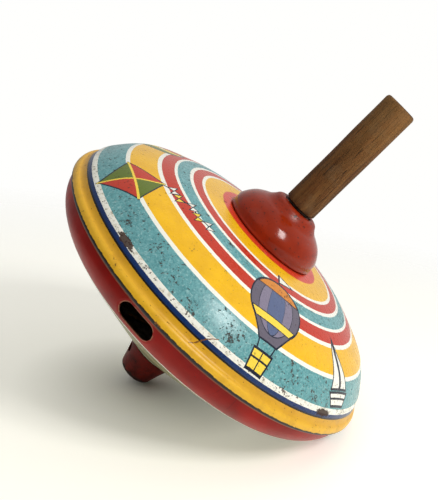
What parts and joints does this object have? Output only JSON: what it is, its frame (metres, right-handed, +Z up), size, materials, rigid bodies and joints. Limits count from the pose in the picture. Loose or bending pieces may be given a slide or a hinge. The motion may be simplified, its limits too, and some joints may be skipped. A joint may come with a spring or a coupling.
{
  "type": "spinning top",
  "caption": "Pump-action tin humming top: two pressed shells, a domed bearing cap, an air-hole foot and a wooden handle on a twisted rod.",
  "frame": {"origin": "centre of the foot's flat end, which is the lowest face of the top", "axes": "+Z up along the spin axis, towards the handle; +X and +Y across the rim, with the first hum slot facing about -Y"},
  "size_m": [0.2072, 0.2072, 0.2145],
  "materials": {
    "tin_print": "lithographed tinplate with coloured rings, worn and specked with rust",
    "tin_red": "lithographed tinplate, dark red",
    "cap_red": "glossy orange-red enamel on tin",
    "steel": "plain steel, dulled with age",
    "brass": "rolled brass reed",
    "wood": "aged stained dowel, open grain"
  },
  "bodies": {
    "top_body": {"upper_shell": "tin_print", "lower_shell": "tin_red", "bearing_cap": "cap_red", "neck_bush": "steel", "clutch_seat": "steel", "guide_tube": "steel", "foot_cup": "cap_red", "foot_plug": "steel", "reed_plate": "steel", "reed_1": "brass", "reed_2": "brass", "reed_3": "brass", "reed_4": "brass", "reed_5": "brass"},
    "washer": {"thrust_washer": "steel"},
    "clutch": {"drive_disc": "steel"},
    "plunger": {"handle": "wood", "spiral_rod": "steel", "rod_stop": "steel", "rod_pin": "steel"}
  },
  "joints": [
    {"name": "handle_spin", "type": "hinge", "parent": "top_body", "child": "washer", "pos_m": [0, 0, 0.138], "axis": [0, 0, 1], "continuous": true},
    {"name": "pump", "type": "slide", "parent": "washer", "child": "plunger", "axis": [0, 0, 1], "range_m": [0, 0.1]},
    {"name": "clutch_turn", "type": "hinge", "parent": "washer", "child": "clutch", "pos_m": [0, 0, 0.12], "axis": [0, 0, 1], "range_deg": [-730, 730]}
  ],
  "couplings": [
    {"joint": "clutch_turn", "follows": "pump", "rad_per_m": -125.66}
  ]
}
